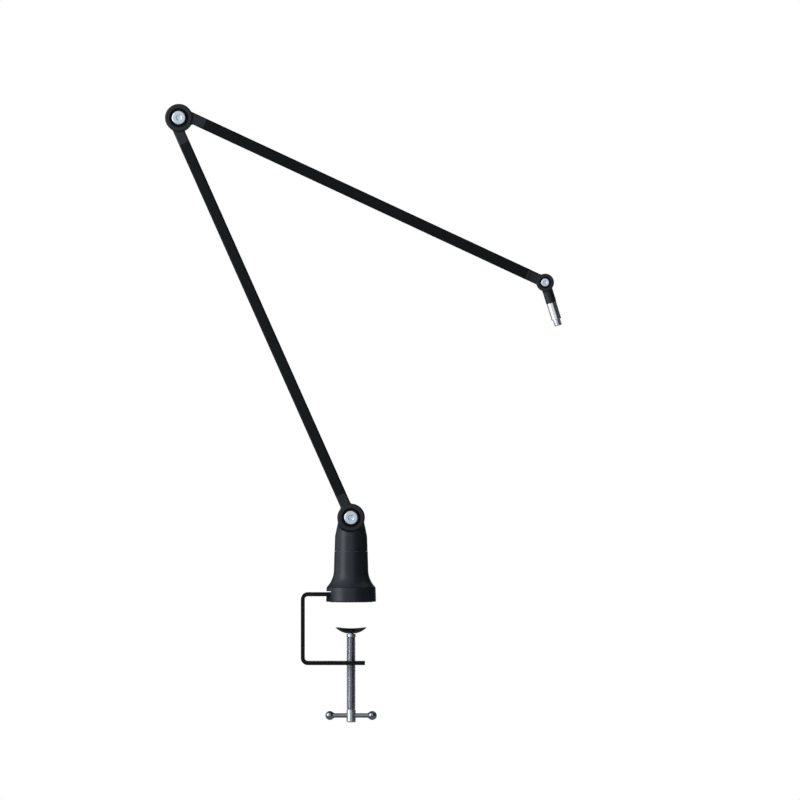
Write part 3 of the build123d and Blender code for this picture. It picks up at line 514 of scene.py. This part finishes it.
def cutMesh(mesh, cutter):
    # takes the cutter's volume out of a mesh
    body = bpy.data.objects.new("cutBody", mesh)
    tool = bpy.data.objects.new("cutTool", cutter)
    for item in (body, tool):
        bpy.context.scene.collection.objects.link(item)
    boolean = body.modifiers.new("cut", "BOOLEAN")
    boolean.operation, boolean.solver, boolean.object = "DIFFERENCE", "EXACT", tool
    graph = bpy.context.evaluated_depsgraph_get()
    result = bpy.data.meshes.new_from_object(body.evaluated_get(graph))
    bpy.data.objects.remove(body)
    bpy.data.objects.remove(tool)
    return result


def buildThreadTree(material):
    # a grid wrapped into a screw thread, closed at both ends, with run-outs one pitch long
    tree = bpy.data.node_groups.new("screwThread", "GeometryNodeTree")
    for label, kind, value in (
        ("Length", "NodeSocketFloat", 0.02), ("Pitch", "NodeSocketFloat", 0.0015),
        ("Outer Radius", "NodeSocketFloat", 0.005), ("Depth", "NodeSocketFloat", 0.0009),
        ("Crest", "NodeSocketFloat", 0.14), ("Root", "NodeSocketFloat", 0.2),
        ("Around", "NodeSocketInt", 48), ("Rows", "NodeSocketInt", 200),
    ):
        tree.interface.new_socket(label, in_out="INPUT", socket_type=kind).default_value = value
    tree.interface.new_socket("Geometry", in_out="OUTPUT", socket_type="NodeSocketGeometry")
    into = tree.nodes.new("NodeGroupInput").outputs
    out = tree.nodes.new("NodeGroupOutput")
    columns = mathNode(tree, "ADD", into["Around"], 1.0)
    grid = addNode(tree, "GeometryNodeMeshGrid", {"Size X": 1.0, "Size Y": 1.0, "Vertices X": columns,
                                                 "Vertices Y": into["Rows"]})
    position = addNode(tree, "GeometryNodeInputPosition").outputs[0]
    spot = addNode(tree, "ShaderNodeSeparateXYZ", {0: position})
    turn = mathNode(tree, "ADD", spot.outputs[0], 0.5)
    share = mathNode(tree, "ADD", spot.outputs[1], 0.5)
    lastRow = mathNode(tree, "SUBTRACT", into["Rows"], 1.0)
    row = mathNode(tree, "ROUND", mathNode(tree, "MULTIPLY", share, lastRow))
    rowsInside = mathNode(tree, "SUBTRACT", lastRow, 2.0)
    inner = mathNode(tree, "DIVIDE", mathNode(tree, "SUBTRACT", row, 1.0), rowsInside, True)
    along = mathNode(tree, "MULTIPLY", inner, into["Length"])
    notFirst = mathNode(tree, "GREATER_THAN", row, 0.5)
    notLast = mathNode(tree, "LESS_THAN", row, mathNode(tree, "SUBTRACT", lastRow, 0.5))
    solid = mathNode(tree, "MULTIPLY", notFirst, notLast)
    pitches = mathNode(tree, "DIVIDE", along, into["Pitch"])
    phase = mathNode(tree, "FRACT", mathNode(tree, "SUBTRACT", pitches, turn))
    fromMiddle = mathNode(tree, "ABSOLUTE", mathNode(tree, "SUBTRACT", phase, 0.5))
    wave = mathNode(tree, "MULTIPLY", fromMiddle, 2.0)
    flank = mathNode(tree, "SUBTRACT", mathNode(tree, "SUBTRACT", 1.0, into["Crest"]), into["Root"])
    ramp = mathNode(tree, "DIVIDE", mathNode(tree, "SUBTRACT", wave, into["Root"]), flank, True)
    toEnd = mathNode(tree, "MINIMUM", along, mathNode(tree, "SUBTRACT", into["Length"], along))
    lead = mathNode(tree, "DIVIDE", toEnd, into["Pitch"], True)
    crest = mathNode(tree, "MULTIPLY", ramp, lead)
    sunk = mathNode(tree, "MULTIPLY", into["Depth"], mathNode(tree, "SUBTRACT", 1.0, crest))
    radius = mathNode(tree, "MULTIPLY", mathNode(tree, "SUBTRACT", into["Outer Radius"], sunk), solid)
    angle = mathNode(tree, "MULTIPLY", turn, 2 * math.pi)
    x = mathNode(tree, "MULTIPLY", radius, mathNode(tree, "COSINE", angle))
    y = mathNode(tree, "MULTIPLY", radius, mathNode(tree, "SINE", angle))
    place = addNode(tree, "ShaderNodeCombineXYZ", {0: x, 1: y, 2: along})
    moved = addNode(tree, "GeometryNodeSetPosition", {"Geometry": grid.outputs[0],
                                                      "Position": place.outputs[0]})
    merged = addNode(tree, "GeometryNodeMergeByDistance", {"Geometry": moved.outputs[0],
                                                           "Distance": 0.001 * mm})
    real = addNode(tree, "GeometryNodeRealizeInstances", {"Geometry": merged.outputs[0]})
    painted = addNode(tree, "GeometryNodeSetMaterial", {"Geometry": real.outputs[0]})
    painted.inputs["Material"].default_value = material
    tree.links.new(painted.outputs[0], out.inputs[0])
    return tree


def threadMesh(tree, place, values):
    # a plain mesh of one thread, made by the tree
    holder = bpy.data.objects.new("threadHolder", bpy.data.meshes.new("threadHolder"))
    bpy.context.scene.collection.objects.link(holder)
    modifier = holder.modifiers.new("thread", "NODES")
    modifier.node_group = tree
    for socket in tree.interface.items_tree:
        if socket.in_out == "INPUT" and socket.name in values:
            modifier[socket.identifier] = values[socket.name]
    graph = bpy.context.evaluated_depsgraph_get()
    mesh = bpy.data.meshes.new_from_object(holder.evaluated_get(graph))
    holder.modifiers.remove(modifier)
    bpy.data.objects.remove(holder)
    mesh.transform(place)
    return mesh


threadTree = buildThreadTree(finishes["spindleChrome"])


spindle = {"pitch": 1.5 * mm, "threadRadius": 5.0 * mm, "threadDepth": 0.8 * mm, "collarTop": 34.9 * mm,
           "collarBottom": 38.5 * mm, "endTop": 118.2 * mm, "endRadius": 5.0 * mm, "endBottom": 132.2 * mm,
           "neckRadius": 2.8 * mm, "neckTop": 29.6 * mm, "collarRadius": 5.0 * mm, "rodDepth": 124.7 * mm,
           "rodHole": 2.58 * mm, "collarRounds": {1: 0.5 * mm, 2: 0.7 * mm, 4: 0.4 * mm},
           "endRounds": {1: 1.2 * mm, 2: 0.5 * mm}, "holeHalf": 8 * mm, "lap": 0.2 * mm, "around": 56,
           "rows": 640, "crest": 0.24, "root": 0.14}


def makeSpindle():
    # clamp screw: neck and collar, thread, and the drilled end
    s = spindle
    upper = [(-s["collarBottom"], 0), (-s["collarBottom"], s["collarRadius"]),
             (-s["collarTop"], s["collarRadius"]), (-s["collarTop"], s["neckRadius"]),
             (-s["neckTop"], s["neckRadius"]), (-s["neckTop"], 0)]
    collar = lathe(softProfile(upper, s["collarRounds"]), spindlePlace)
    lower = [(-s["endBottom"], 0), (-s["endBottom"], s["endRadius"]), (-s["endTop"], s["endRadius"]),
             (-s["endTop"], 0)]
    barrel = lathe(softProfile(lower, s["endRounds"]), spindlePlace)
    holePlace = placeAt(Vector((-s["holeHalf"], 0, -s["rodDepth"])), sideDirection)
    holeLength = 2 * s["holeHalf"]
    hole = lathe([(0, 0), (0, s["rodHole"]), (holeLength, s["rodHole"]), (holeLength, 0)], holePlace, 48)
    barrel = cutMesh(barrel, hole)
    # the thread runs a little way into the collar and the end, so no gap shows
    start = -s["endTop"] - s["lap"]
    length = s["endTop"] - s["collarBottom"] + 2 * s["lap"]
    thread = threadMesh(threadTree, Matrix.Translation((0, 0, start)), {
        "Length": length, "Pitch": s["pitch"], "Outer Radius": s["threadRadius"], "Depth": s["threadDepth"],
        "Around": s["around"], "Rows": s["rows"], "Crest": s["crest"], "Root": s["root"]})
    parts = [(collar, "spindleChrome"), (barrel, "spindleChrome"), (thread, "threadSteel")]
    finishMesh(parts, "spindleScrew", "spindle", ["clamp_spindle"], 40.0)


makeSpindle()


handle = {"ballRadius": 5.0 * mm, "rodRadius": 2.5 * mm, "half": 28.3 * mm, "neckRadius": 3.1 * mm,
          "neckLength": 0.9 * mm, "rodInset": 1 * mm, "steps": 28, "around": 56}


def makeHandle():
    # sliding rod, and a ball with a short neck on each end
    h = handle
    centre = Vector((0, 0, rodCentre.z))
    ballCentre = h["half"] - h["ballRadius"]
    rodEnd = ballCentre - h["rodInset"]
    rod = lathe([(-rodEnd, 0), (-rodEnd, h["rodRadius"]), (rodEnd, h["rodRadius"]), (rodEnd, 0)],
                placeAt(centre, sideDirection), 48)
    finishMesh([(rod, "handleChrome")], "handleRod", "handle", ["handle_rod"])
    cut = math.asin(h["neckRadius"] / h["ballRadius"])
    neckEnd = -h["ballRadius"] * math.cos(cut) - h["neckLength"]
    profile = [(neckEnd, 0), (neckEnd, h["neckRadius"])]
    for step in range(h["steps"] + 1):
        angle = cut + (math.pi - cut) * step / h["steps"]
        radius = 0 if step == h["steps"] else h["ballRadius"] * math.sin(angle)
        profile.append((-h["ballRadius"] * math.cos(angle), radius))
    balls = []
    for side in (-1, 1):
        place = placeAt(centre + side * ballCentre * sideDirection, side * sideDirection)
        balls.append((lathe(profile, place, h["around"]), "handleChrome"))
    finishMesh(balls, "handleBalls", "handle", ["handle_balls"])


makeHandle()


spigot = {"holderEnd": 23.5 * mm, "radius": 5.45 * mm, "shoulder": 42.5 * mm, "undercut": 1.0 * mm,
          "undercutRadius": 4.2 * mm, "threadRadius": 4.7625 * mm, "threadDepth": 0.95 * mm,
          "pitch": 1.5875 * mm, "end": 49.6 * mm, "shankRadius": 3.0 * mm, "shankDepth": 11.0 * mm,
          "rounds": {3: 0.3 * mm, 4: 0.5 * mm, 5: 0.3 * mm}, "lap": 0.3 * mm, "around": 72, "rows": 90}


def makeSpigot():
    # plain cylinder with a shank in its holder and a threaded nose
    s = spigot
    threadStart = s["shoulder"] + s["undercut"]
    bodyEnd = threadStart + s["lap"]  # inside the thread
    profile = [(s["holderEnd"] - s["shankDepth"], 0), (s["holderEnd"] - s["shankDepth"], s["shankRadius"]),
               (s["holderEnd"], s["shankRadius"]), (s["holderEnd"], s["radius"]),
               (s["shoulder"], s["radius"]), (s["shoulder"], s["undercutRadius"]),
               (bodyEnd, s["undercutRadius"]), (bodyEnd, 0)]
    body = lathe(softProfile(profile, s["rounds"]), spigotPlace)
    thread = threadMesh(threadTree, spigotPlace @ Matrix.Translation((0, 0, threadStart)), {
        "Length": s["end"] - threadStart, "Pitch": s["pitch"], "Outer Radius": s["threadRadius"],
        "Depth": s["threadDepth"], "Around": s["around"], "Rows": s["rows"]})
    parts = [(body, "spigotChrome"), (thread, "spigotChrome")]
    finishMesh(parts, "threadedSpigot", "spigot_head", ["spigot"], 40.0)


makeSpigot()


largeBolt = {"floor": 11.6 * mm, "headRadius": 7.7 * mm, "headHeight": 4.2 * mm, "socketFlats": 5.0 * mm,
             "socketDepth": 1.3 * mm, "headRound": 1.2 * mm, "shank": 4.0 * mm, "springs": 2.2 * mm,
             "nutFlats": 13.0 * mm, "nutHeight": 4.0 * mm, "tail": 0.6 * mm, "pitch": 1.25 * mm,
             "threadDepth": 0.7 * mm}
smallBolt = {"floor": 7.8 * mm, "headRadius": 4.6 * mm, "headHeight": 2.8 * mm, "socketFlats": 3.0 * mm,
             "socketDepth": 0.9 * mm, "headRound": 0.8 * mm, "shank": 2.5 * mm, "springs": 1.4 * mm,
             "nutFlats": 8.0 * mm, "nutHeight": 2.7 * mm, "tail": 0.6 * mm, "pitch": 0.8 * mm,
             "threadDepth": 0.45 * mm}
# the same on bolts and nuts of both sizes
boltDetail = {"socketChamfer": 0.3 * mm, "seatRound": 0.2 * mm, "gap": 0.3 * mm, "lap": 0.3 * mm,
              "threadPast": 0.6 * mm, "around": 48, "rows": 70, "boreChamfer": 0.5 * mm, "fit": 0.02 * mm,
              "faceShare": 0.475, "cornerDrop": 0.55}


def makeBolt(knuckle, sizes, body):
    # low round head with a hexagon socket, shank and threaded end
    b = sizes
    d = boltDetail
    place = boltPlaces[knuckle]
    top = b["floor"] + b["headHeight"]
    socketFloor = top - b["socketDepth"]
    shankEnd = -(b["floor"] + b["springs"] + d["gap"])
    socketRadius = b["socketFlats"] * 0.5 / math.cos(math.pi / 6)
    mouth = socketRadius + d["socketChamfer"]
    profile = [(shankEnd, 0), (shankEnd, b["shank"]), (b["floor"], b["shank"]),
               (b["floor"], b["headRadius"]), (top, b["headRadius"]), (top, mouth),
               (top - d["socketChamfer"], socketRadius, b["socketFlats"]),
               (socketFloor, socketRadius, b["socketFlats"]), (socketFloor, 0)]
    head = lathe(softProfile(profile, {3: d["seatRound"], 4: b["headRound"]}), place)
    threadLength = b["nutHeight"] + b["tail"] + d["threadPast"]
    threadStart = shankEnd - threadLength + d["lap"]
    threadPlace = place @ Matrix.Translation((0, 0, threadStart))
    thread = threadMesh(threadTree, threadPlace, {
        "Length": threadLength, "Pitch": b["pitch"], "Outer Radius": b["shank"], "Depth": b["threadDepth"],
        "Around": d["around"], "Rows": d["rows"]})
    parts = [(head, knuckle + "Zinc"), (thread, knuckle + "Zinc")]
    finishMesh(parts, knuckle + "BoltHead", body, [knuckle + "_bolt"], 20.0)


def makeNut(knuckle, sizes, body):
    # hexagon with turned corners and a chamfered bore
    b = sizes
    d = boltDetail
    rear = boltPlaces[knuckle] @ Matrix.Rotation(math.pi, 4, "X")
    low = b["floor"] + b["springs"]
    high = low + b["nutHeight"]
    corner = b["nutFlats"] * 0.5 / math.cos(math.pi / 6)
    bore = b["shank"] + d["fit"]
    face = b["nutFlats"] * d["faceShare"]
    drop = (corner - face) * d["cornerDrop"]
    profile = [(low, bore), (low, face), (low + drop, corner, b["nutFlats"]),
               (high - drop, corner, b["nutFlats"]), (high, face), (high, bore + d["boreChamfer"]),
               (high - d["boreChamfer"], bore), (low, bore)]
    finishMesh([(lathe(profile, rear), knuckle + "Zinc")], knuckle + "Nut", body, [knuckle + "_nut"])


for knuckle, sizes, body in (("base", largeBolt, "lower_arm"), ("elbow", largeBolt, "upper_arm"),
                             ("tip", smallBolt, "upper_arm")):
    makeBolt(knuckle, sizes, body)
    makeNut(knuckle, sizes, body)
print("pieces made")


studio = {"floorDrop": 0.15, "floorSize": 1.6, "lens": 500.0, "distance": 12.222, "viewX": 0.0538,
          "viewZ": 0.2223, "lightTarget": (0, 0, 0.2)}

# each softbox: its place, width, height, power in watts and colour
softboxes = {
    "keySoftbox": ((-1.45, -0.85, 0.4), 1.1, 1.9, 16.5, (0.82, 0.91, 1.0)),
    "leftStrip": ((-1.3, -0.85, 0.3), 0.1, 1.6, 2.2, (1, 1, 1)),
    "rightStrip": ((1.7, -0.3, 0.4), 0.15, 1.6, 0.2, (0.85, 0.92, 1.0)),
    "backSoftbox": ((0.25, 2.2, 0.4), 1.0, 1.2, 4.0, (1, 1, 1)),
    "highSoftbox": ((1.2, 0.3, 1.6), 1.0, 1.0, 1.5, (1, 1, 1)),
    "topSoftbox": ((0, 0.2, 1.8), 1.4, 1.4, 1.5, (1, 1, 1)),
}


def makeFloor():
    # a pale sheet below the clamp
    size = studio["floorSize"]
    mesh = bpy.data.meshes.new("floor")
    low = cadLow[2] - studio["floorDrop"]
    mesh.from_pydata([(-size, -size, low), (size, -size, low), (size, size, low), (-size, size, low)], [],
                     [(0, 1, 2, 3)])
    floor = bpy.data.objects.new("floor", mesh)
    bpy.context.scene.collection.objects.link(floor)
    material, tree, shader, coords = startMaterial("paleFloor")
    grain = useGroup(tree, coatGrain, {"Vector": coords, "Peel Size": 60.0, "Speck Size": 300.0})
    colour = mixColours(tree, grain.outputs["Specks"], (0.50, 0.50, 0.50), (0.53, 0.53, 0.53))
    tree.links.new(colour, shader.inputs["Base Color"])
    shader.inputs["Roughness"].default_value = 0.9
    shader.inputs["Specular IOR Level"].default_value = 0.0
    shader.inputs["Emission Color"].default_value = (1, 1, 1, 1)
    # it fades into the white backdrop away from the middle
    fade = mapRange(tree, vectorMath(tree, "LENGTH", coords), 0.35, 1.2, 0.62, 1.0)
    seen = tree.nodes.new("ShaderNodeLightPath").outputs["Is Camera Ray"]
    tree.links.new(mathNode(tree, "MULTIPLY", fade, seen), shader.inputs["Emission Strength"])
    mesh.materials.append(material)


def makeLight(name, place, width, height, power, colour):
    light = bpy.data.lights.new(name, "AREA")
    light.shape, light.size, light.size_y = "RECTANGLE", width, height
    light.energy, light.color = power, colour
    aim = Vector(studio["lightTarget"]) - Vector(place)
    lamp = bpy.data.objects.new(name, light)
    lamp.location = place
    lamp.visible_camera = False
    lamp.rotation_mode = "QUATERNION"
    lamp.rotation_quaternion = aim.to_track_quat("-Z", "Y")
    bpy.context.scene.collection.objects.link(lamp)


# a broad soft patch of sky on the left, in front; everything else is nearly dark, and the camera sees white
sky = {"towards": (-0.80, -0.60, 0.05), "edge": 0.08, "full": 0.52, "dark": 0.035, "bright": 0.80,
       "colour": (0.93, 0.96, 1.0, 1)}


def makeWorld():
    # it lights with the sky patch, and shows white to the camera
    world = bpy.data.worlds.new("studio")
    world.use_nodes = True
    tree = world.node_tree
    tree.nodes.clear()
    out = tree.nodes.new("ShaderNodeOutputWorld")
    seen = addNode(tree, "ShaderNodeBackground", {"Color": (1, 1, 1, 1), "Strength": 1.0})
    direction = tree.nodes.new("ShaderNodeTexCoord").outputs["Generated"]
    facing = vectorMath(tree, "DOT_PRODUCT", direction, sky["towards"])
    ramp = mapRange(tree, facing, sky["edge"], sky["full"], sky["dark"], sky["bright"],
                    interpolation_type="SMOOTHSTEP")
    lit = addNode(tree, "ShaderNodeBackground", {"Color": sky["colour"]})
    tree.links.new(ramp, lit.inputs["Strength"])
    path = tree.nodes.new("ShaderNodeLightPath")
    mix = addNode(tree, "ShaderNodeMixShader", {0: path.outputs["Is Camera Ray"], 1: lit.outputs[0],
                                                2: seen.outputs[0]})
    tree.links.new(mix.outputs[0], out.inputs[0])
    bpy.context.scene.world = world


def makeCamera():
    # a long lens, square on; the view is 0.88 m wide at the object
    camera = bpy.data.cameras.new("camera")
    camera.lens = studio["lens"]
    camera.clip_end = 50.0
    eye = bpy.data.objects.new("camera", camera)
    eye.location = (studio["viewX"], -studio["distance"], studio["viewZ"])
    eye.rotation_euler = (math.pi / 2, 0, 0)
    bpy.context.scene.collection.objects.link(eye)
    bpy.context.scene.camera = eye


makeFloor()
makeWorld()
for name, (place, width, height, power, colour) in softboxes.items():
    makeLight(name, place, width, height, power, colour)
makeCamera()
bpy.context.scene.view_settings.view_transform = "Standard"
print("studio made")
